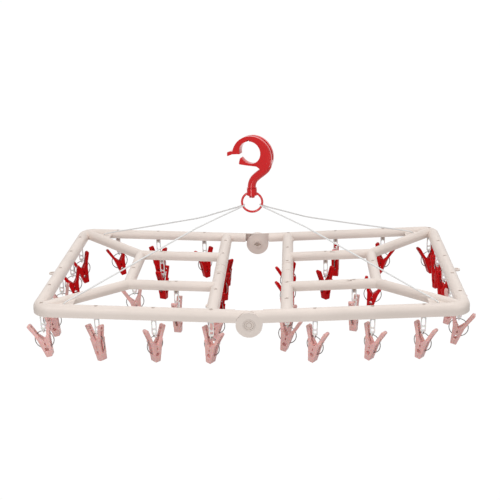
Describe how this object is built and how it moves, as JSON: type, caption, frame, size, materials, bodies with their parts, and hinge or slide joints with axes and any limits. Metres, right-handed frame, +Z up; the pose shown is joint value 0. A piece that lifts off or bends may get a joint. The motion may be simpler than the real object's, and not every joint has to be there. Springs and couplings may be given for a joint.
{
  "type": "clip drying hanger",
  "caption": "Folding rectangular drying frame that hangs by two cords from a swivelling hook, with sprung clothes clips on links round its rails.",
  "frame": {"origin": "centre of the hook's opening, on the axis of the drying pole", "axes": "+Z up, +X along the frame's long side to the right, +Y to the rear"},
  "size_m": [0.7885, 0.4509, 0.3565],
  "materials": {
    "beige_plastic": "satin",
    "red_plastic": "gloss",
    "red_pinch_plastic": "satin",
    "pink_pinch_plastic": "satin",
    "white_plastic": "satin",
    "white_cord": "braided"
  },
  "bodies": {
    "hook": {"hook": "red_plastic"},
    "swivel_ring": {"swivel_ring": "red_plastic"},
    "hinge_pins": {"front_hinge_pin": "beige_plastic", "rear_hinge_pin": "beige_plastic"},
    "left_half": {"left_frame": "beige_plastic", "left_studs": "white_plastic", "left_knots": "white_cord"},
    "right_half": {"right_frame": "beige_plastic", "right_studs": "white_plastic", "right_knots": "white_cord"},
    "left_cord": {"left_cord": "white_cord"},
    "right_cord": {"right_cord": "white_cord"},
    "left_pinch_front_1": {"left_pinch_front_1": "pink_pinch_plastic"},
    "left_jaw_front_1": {"left_jaw_front_1": "pink_pinch_plastic"},
    "left_pinch_front_2": {"left_pinch_front_2": "pink_pinch_plastic"},
    "left_jaw_front_2": {"left_jaw_front_2": "pink_pinch_plastic"},
    "left_pinch_front_3": {"left_pinch_front_3": "pink_pinch_plastic"},
    "left_jaw_front_3": {"left_jaw_front_3": "pink_pinch_plastic"},
    "left_pinch_rear_1": {"left_pinch_rear_1": "red_pinch_plastic"},
    "left_pinch_rear_2": {"left_pinch_rear_2": "red_pinch_plastic"},
    "left_pinch_rear_3": {"left_pinch_rear_3": "red_pinch_plastic"},
    "left_pinch_end_1": {"left_pinch_end_1": "red_pinch_plastic"},
    "left_pinch_end_2": {"left_pinch_end_2": "red_pinch_plastic"},
    "left_pinch_end_3": {"left_pinch_end_3": "pink_pinch_plastic"},
    "left_pinch_end_4": {"left_pinch_end_4": "pink_pinch_plastic"},
    "left_pinch_end_5": {"left_pinch_end_5": "pink_pinch_plastic"},
    "left_pinch_cross_1": {"left_pinch_cross_1": "red_pinch_plastic"},
    "left_pinch_cross_2": {"left_pinch_cross_2": "red_pinch_plastic"},
    "left_pinch_cross_3": {"left_pinch_cross_3": "red_pinch_plastic"},
    "left_pinch_cross_4": {"left_pinch_cross_4": "pink_pinch_plastic"},
    "left_pinch_bar_rear": {"left_pinch_bar_rear": "red_pinch_plastic"},
    "left_pinch_bar_front": {"left_pinch_bar_front": "pink_pinch_plastic"},
    "left_pinch_short_bar": {"left_pinch_short_bar": "pink_pinch_plastic"},
    "right_pinch_front_1": {"right_pinch_front_1": "red_pinch_plastic"},
    "right_pinch_front_2": {"right_pinch_front_2": "red_pinch_plastic"},
    "right_pinch_front_3": {"right_pinch_front_3": "red_pinch_plastic"},
    "right_pinch_rear_1": {"right_pinch_rear_1": "pink_pinch_plastic"},
    "right_jaw_rear_1": {"right_jaw_rear_1": "pink_pinch_plastic"},
    "right_pinch_rear_2": {"right_pinch_rear_2": "pink_pinch_plastic"},
    "right_jaw_rear_2": {"right_jaw_rear_2": "pink_pinch_plastic"},
    "right_pinch_rear_3": {"right_pinch_rear_3": "pink_pinch_plastic"},
    "right_jaw_rear_3": {"right_jaw_rear_3": "pink_pinch_plastic"},
    "right_pinch_end_1": {"right_pinch_end_1": "pink_pinch_plastic"},
    "right_pinch_end_2": {"right_pinch_end_2": "pink_pinch_plastic"},
    "right_pinch_end_3": {"right_pinch_end_3": "red_pinch_plastic"},
    "right_pinch_end_4": {"right_pinch_end_4": "red_pinch_plastic"},
    "right_pinch_end_5": {"right_pinch_end_5": "red_pinch_plastic"},
    "right_pinch_cross_1": {"right_pinch_cross_1": "pink_pinch_plastic"},
    "right_pinch_cross_2": {"right_pinch_cross_2": "pink_pinch_plastic"},
    "right_pinch_cross_3": {"right_pinch_cross_3": "red_pinch_plastic"},
    "right_pinch_cross_4": {"right_pinch_cross_4": "red_pinch_plastic"},
    "right_pinch_bar_rear": {"right_pinch_bar_rear": "pink_pinch_plastic"},
    "right_pinch_bar_front": {"right_pinch_bar_front": "red_pinch_plastic"},
    "right_pinch_short_bar": {"right_pinch_short_bar": "red_pinch_plastic"}
  },
  "joints": [
    {"name": "hook_swivel", "type": "hinge", "parent": "hook", "child": "swivel_ring", "pos_m": [0, 0, -0.075], "axis": [0, 0, 1], "continuous": true},
    {"name": "hinge_lift", "type": "slide", "parent": "swivel_ring", "child": "hinge_pins", "axis": [0, 0, 1], "range_m": [0, 0.123]},
    {"name": "fold", "type": "hinge", "parent": "hinge_pins", "child": "left_half", "pos_m": [0, 0, -0.2503], "axis": [0, -1, 0], "range_deg": [0, 42], "deforming": ["left_cord", "right_cord"]},
    {"name": "right_fold", "type": "hinge", "parent": "hinge_pins", "child": "right_half", "pos_m": [0, 0, -0.2503], "axis": [0, 1, 0], "range_deg": [0, 42]},
    {"name": "left_cord_swing", "type": "hinge", "parent": "swivel_ring", "child": "left_cord", "pos_m": [-0.0177, 0, -0.1018], "axis": [0, -1, 0], "range_deg": [0, 23]},
    {"name": "right_cord_swing", "type": "hinge", "parent": "swivel_ring", "child": "right_cord", "pos_m": [0.0177, 0, -0.1018], "axis": [0, 1, 0], "range_deg": [0, 23]},
    {"name": "left_front_1_swing", "type": "hinge", "parent": "left_half", "child": "left_pinch_front_1", "pos_m": [-0.06587, -0.204, -0.24558], "axis": [0, 1, 0], "range_deg": [0, 42]},
    {"name": "left_front_1_open", "type": "hinge", "parent": "left_pinch_front_1", "child": "left_jaw_front_1", "pos_m": [-0.06587, -0.204, -0.29428], "axis": [-0.5736, -0.8192, 0], "range_deg": [0, 14], "stiffness_Nm_per_rad": 0.6, "springref_deg": -20.05},
    {"name": "left_front_2_swing", "type": "hinge", "parent": "left_half", "child": "left_pinch_front_2", "pos_m": [-0.16481, -0.204, -0.24196], "axis": [0, 1, 0], "range_deg": [0, 42]},
    {"name": "left_front_2_open", "type": "hinge", "parent": "left_pinch_front_2", "child": "left_jaw_front_2", "pos_m": [-0.16481, -0.204, -0.29065], "axis": [0.7071, -0.7071, 0], "range_deg": [0, 14], "stiffness_Nm_per_rad": 0.6, "springref_deg": -20.05},
    {"name": "left_front_3_swing", "type": "hinge", "parent": "left_half", "child": "left_pinch_front_3", "pos_m": [-0.26374, -0.204, -0.23833], "axis": [0, 1, 0], "range_deg": [0, 42]},
    {"name": "left_front_3_open", "type": "hinge", "parent": "left_pinch_front_3", "child": "left_jaw_front_3", "pos_m": [-0.26374, -0.204, -0.28703], "axis": [0.6428, 0.766, 0], "range_deg": [0, 14], "stiffness_Nm_per_rad": 0.6, "springref_deg": -20.05},
    {"name": "left_rear_1_swing", "type": "hinge", "parent": "left_half", "child": "left_pinch_rear_1", "pos_m": [-0.11284, 0.204, -0.24386], "axis": [0, 1, 0], "range_deg": [0, 42]},
    {"name": "left_rear_2_swing", "type": "hinge", "parent": "left_half", "child": "left_pinch_rear_2", "pos_m": [-0.21077, 0.204, -0.24027], "axis": [0, 1, 0], "range_deg": [0, 42]},
    {"name": "left_rear_3_swing", "type": "hinge", "parent": "left_half", "child": "left_pinch_rear_3", "pos_m": [-0.29672, 0.204, -0.23712], "axis": [0, 1, 0], "range_deg": [0, 42]},
    {"name": "left_end_1_swing", "type": "hinge", "parent": "left_half", "child": "left_pinch_end_1", "pos_m": [-0.36617, 0.151, -0.23457], "axis": [0, 1, 0], "range_deg": [0, 42]},
    {"name": "left_end_2_swing", "type": "hinge", "parent": "left_half", "child": "left_pinch_end_2", "pos_m": [-0.36617, 0.065, -0.23457], "axis": [0, 1, 0], "range_deg": [0, 42]},
    {"name": "left_end_3_swing", "type": "hinge", "parent": "left_half", "child": "left_pinch_end_3", "pos_m": [-0.36617, -0.028, -0.23457], "axis": [0, 1, 0], "range_deg": [0, 42]},
    {"name": "left_end_4_swing", "type": "hinge", "parent": "left_half", "child": "left_pinch_end_4", "pos_m": [-0.36617, -0.114, -0.23457], "axis": [0, 1, 0], "range_deg": [0, 42]},
    {"name": "left_end_5_swing", "type": "hinge", "parent": "left_half", "child": "left_pinch_end_5", "pos_m": [-0.35967, -0.198, -0.23481], "axis": [0, 1, 0], "range_deg": [0, 42]},
    {"name": "left_cross_1_swing", "type": "hinge", "parent": "left_half", "child": "left_pinch_cross_1", "pos_m": [-0.06487, 0.156, -0.24562], "axis": [0, 1, 0], "range_deg": [0, 42]},
    {"name": "left_cross_2_swing", "type": "hinge", "parent": "left_half", "child": "left_pinch_cross_2", "pos_m": [-0.06487, 0.079, -0.24562], "axis": [0, 1, 0], "range_deg": [0, 42]},
    {"name": "left_cross_3_swing", "type": "hinge", "parent": "left_half", "child": "left_pinch_cross_3", "pos_m": [-0.06487, -0.033, -0.24562], "axis": [0, 1, 0], "range_deg": [0, 42]},
    {"name": "left_cross_4_swing", "type": "hinge", "parent": "left_half", "child": "left_pinch_cross_4", "pos_m": [-0.06487, -0.112, -0.24562], "axis": [0, 1, 0], "range_deg": [0, 42]},
    {"name": "left_bar_rear_swing", "type": "hinge", "parent": "left_half", "child": "left_pinch_bar_rear", "pos_m": [-0.18679, 0.079, -0.24115], "axis": [0, 1, 0], "range_deg": [0, 42]},
    {"name": "left_bar_front_swing", "type": "hinge", "parent": "left_half", "child": "left_pinch_bar_front", "pos_m": [-0.13982, -0.079, -0.24287], "axis": [0, 1, 0], "range_deg": [0, 42]},
    {"name": "left_short_bar_swing", "type": "hinge", "parent": "left_half", "child": "left_pinch_short_bar", "pos_m": [-0.22876, -0.016, -0.23961], "axis": [0, 1, 0], "range_deg": [0, 42]},
    {"name": "right_front_1_swing", "type": "hinge", "parent": "right_half", "child": "right_pinch_front_1", "pos_m": [0.06587, 0.204, -0.24558], "axis": [0, -1, 0], "range_deg": [0, 42]},
    {"name": "right_front_2_swing", "type": "hinge", "parent": "right_half", "child": "right_pinch_front_2", "pos_m": [0.16481, 0.204, -0.24196], "axis": [0, -1, 0], "range_deg": [0, 42]},
    {"name": "right_front_3_swing", "type": "hinge", "parent": "right_half", "child": "right_pinch_front_3", "pos_m": [0.26374, 0.204, -0.23833], "axis": [0, -1, 0], "range_deg": [0, 42]},
    {"name": "right_rear_1_swing", "type": "hinge", "parent": "right_half", "child": "right_pinch_rear_1", "pos_m": [0.11284, -0.204, -0.24386], "axis": [0, -1, 0], "range_deg": [0, 42]},
    {"name": "right_rear_1_open", "type": "hinge", "parent": "right_pinch_rear_1", "child": "right_jaw_rear_1", "pos_m": [0.11284, -0.204, -0.29256], "axis": [-0.5736, -0.8192, 0], "range_deg": [0, 14], "stiffness_Nm_per_rad": 0.6, "springref_deg": -20.05},
    {"name": "right_rear_2_swing", "type": "hinge", "parent": "right_half", "child": "right_pinch_rear_2", "pos_m": [0.21077, -0.204, -0.24027], "axis": [0, -1, 0], "range_deg": [0, 42]},
    {"name": "right_rear_2_open", "type": "hinge", "parent": "right_pinch_rear_2", "child": "right_jaw_rear_2", "pos_m": [0.21077, -0.204, -0.28897], "axis": [-0.6428, -0.766, 0], "range_deg": [0, 14], "stiffness_Nm_per_rad": 0.6, "springref_deg": -20.05},
    {"name": "right_rear_3_swing", "type": "hinge", "parent": "right_half", "child": "right_pinch_rear_3", "pos_m": [0.29672, -0.204, -0.23712], "axis": [0, -1, 0], "range_deg": [0, 42]},
    {"name": "right_rear_3_open", "type": "hinge", "parent": "right_pinch_rear_3", "child": "right_jaw_rear_3", "pos_m": [0.29672, -0.204, -0.28582], "axis": [-0.6157, -0.788, 0], "range_deg": [0, 14], "stiffness_Nm_per_rad": 0.6, "springref_deg": -20.05},
    {"name": "right_end_1_swing", "type": "hinge", "parent": "right_half", "child": "right_pinch_end_1", "pos_m": [0.36617, -0.151, -0.23457], "axis": [0, -1, 0], "range_deg": [0, 42]},
    {"name": "right_end_2_swing", "type": "hinge", "parent": "right_half", "child": "right_pinch_end_2", "pos_m": [0.36617, -0.065, -0.23457], "axis": [0, -1, 0], "range_deg": [0, 42]},
    {"name": "right_end_3_swing", "type": "hinge", "parent": "right_half", "child": "right_pinch_end_3", "pos_m": [0.36617, 0.028, -0.23457], "axis": [0, -1, 0], "range_deg": [0, 42]},
    {"name": "right_end_4_swing", "type": "hinge", "parent": "right_half", "child": "right_pinch_end_4", "pos_m": [0.36617, 0.114, -0.23457], "axis": [0, -1, 0], "range_deg": [0, 42]},
    {"name": "right_end_5_swing", "type": "hinge", "parent": "right_half", "child": "right_pinch_end_5", "pos_m": [0.35967, 0.198, -0.23481], "axis": [0, -1, 0], "range_deg": [0, 42]},
    {"name": "right_cross_1_swing", "type": "hinge", "parent": "right_half", "child": "right_pinch_cross_1", "pos_m": [0.06487, -0.156, -0.24562], "axis": [0, -1, 0], "range_deg": [0, 42]},
    {"name": "right_cross_2_swing", "type": "hinge", "parent": "right_half", "child": "right_pinch_cross_2", "pos_m": [0.06487, -0.079, -0.24562], "axis": [0, -1, 0], "range_deg": [0, 42]},
    {"name": "right_cross_3_swing", "type": "hinge", "parent": "right_half", "child": "right_pinch_cross_3", "pos_m": [0.06487, 0.033, -0.24562], "axis": [0, -1, 0], "range_deg": [0, 42]},
    {"name": "right_cross_4_swing", "type": "hinge", "parent": "right_half", "child": "right_pinch_cross_4", "pos_m": [0.06487, 0.112, -0.24562], "axis": [0, -1, 0], "range_deg": [0, 42]},
    {"name": "right_bar_rear_swing", "type": "hinge", "parent": "right_half", "child": "right_pinch_bar_rear", "pos_m": [0.18679, -0.079, -0.24115], "axis": [0, -1, 0], "range_deg": [0, 42]},
    {"name": "right_bar_front_swing", "type": "hinge", "parent": "right_half", "child": "right_pinch_bar_front", "pos_m": [0.13982, 0.079, -0.24287], "axis": [0, -1, 0], "range_deg": [0, 42]},
    {"name": "right_short_bar_swing", "type": "hinge", "parent": "right_half", "child": "right_pinch_short_bar", "pos_m": [0.22876, 0.016, -0.23961], "axis": [0, -1, 0], "range_deg": [0, 42]}
  ],
  "couplings": [
    {"joint": "hinge_lift", "follows": "fold", "m_per_rad": 0.16601},
    {"joint": "right_fold", "follows": "fold", "ratio": 1},
    {"joint": "left_cord_swing", "follows": "fold", "ratio": 0.50138},
    {"joint": "right_cord_swing", "follows": "fold", "ratio": 0.50138},
    {"joint": "left_front_1_swing", "follows": "fold", "ratio": 1},
    {"joint": "left_front_2_swing", "follows": "fold", "ratio": 1},
    {"joint": "left_front_3_swing", "follows": "fold", "ratio": 1},
    {"joint": "left_rear_1_swing", "follows": "fold", "ratio": 1},
    {"joint": "left_rear_2_swing", "follows": "fold", "ratio": 1},
    {"joint": "left_rear_3_swing", "follows": "fold", "ratio": 1},
    {"joint": "left_end_1_swing", "follows": "fold", "ratio": 1},
    {"joint": "left_end_2_swing", "follows": "fold", "ratio": 1},
    {"joint": "left_end_3_swing", "follows": "fold", "ratio": 1},
    {"joint": "left_end_4_swing", "follows": "fold", "ratio": 1},
    {"joint": "left_end_5_swing", "follows": "fold", "ratio": 1},
    {"joint": "left_cross_1_swing", "follows": "fold", "ratio": 1},
    {"joint": "left_cross_2_swing", "follows": "fold", "ratio": 1},
    {"joint": "left_cross_3_swing", "follows": "fold", "ratio": 1},
    {"joint": "left_cross_4_swing", "follows": "fold", "ratio": 1},
    {"joint": "left_bar_rear_swing", "follows": "fold", "ratio": 1},
    {"joint": "left_bar_front_swing", "follows": "fold", "ratio": 1},
    {"joint": "left_short_bar_swing", "follows": "fold", "ratio": 1},
    {"joint": "right_front_1_swing", "follows": "fold", "ratio": 1},
    {"joint": "right_front_2_swing", "follows": "fold", "ratio": 1},
    {"joint": "right_front_3_swing", "follows": "fold", "ratio": 1},
    {"joint": "right_rear_1_swing", "follows": "fold", "ratio": 1},
    {"joint": "right_rear_2_swing", "follows": "fold", "ratio": 1},
    {"joint": "right_rear_3_swing", "follows": "fold", "ratio": 1},
    {"joint": "right_end_1_swing", "follows": "fold", "ratio": 1},
    {"joint": "right_end_2_swing", "follows": "fold", "ratio": 1},
    {"joint": "right_end_3_swing", "follows": "fold", "ratio": 1},
    {"joint": "right_end_4_swing", "follows": "fold", "ratio": 1},
    {"joint": "right_end_5_swing", "follows": "fold", "ratio": 1},
    {"joint": "right_cross_1_swing", "follows": "fold", "ratio": 1},
    {"joint": "right_cross_2_swing", "follows": "fold", "ratio": 1},
    {"joint": "right_cross_3_swing", "follows": "fold", "ratio": 1},
    {"joint": "right_cross_4_swing", "follows": "fold", "ratio": 1},
    {"joint": "right_bar_rear_swing", "follows": "fold", "ratio": 1},
    {"joint": "right_bar_front_swing", "follows": "fold", "ratio": 1},
    {"joint": "right_short_bar_swing", "follows": "fold", "ratio": 1}
  ]
}
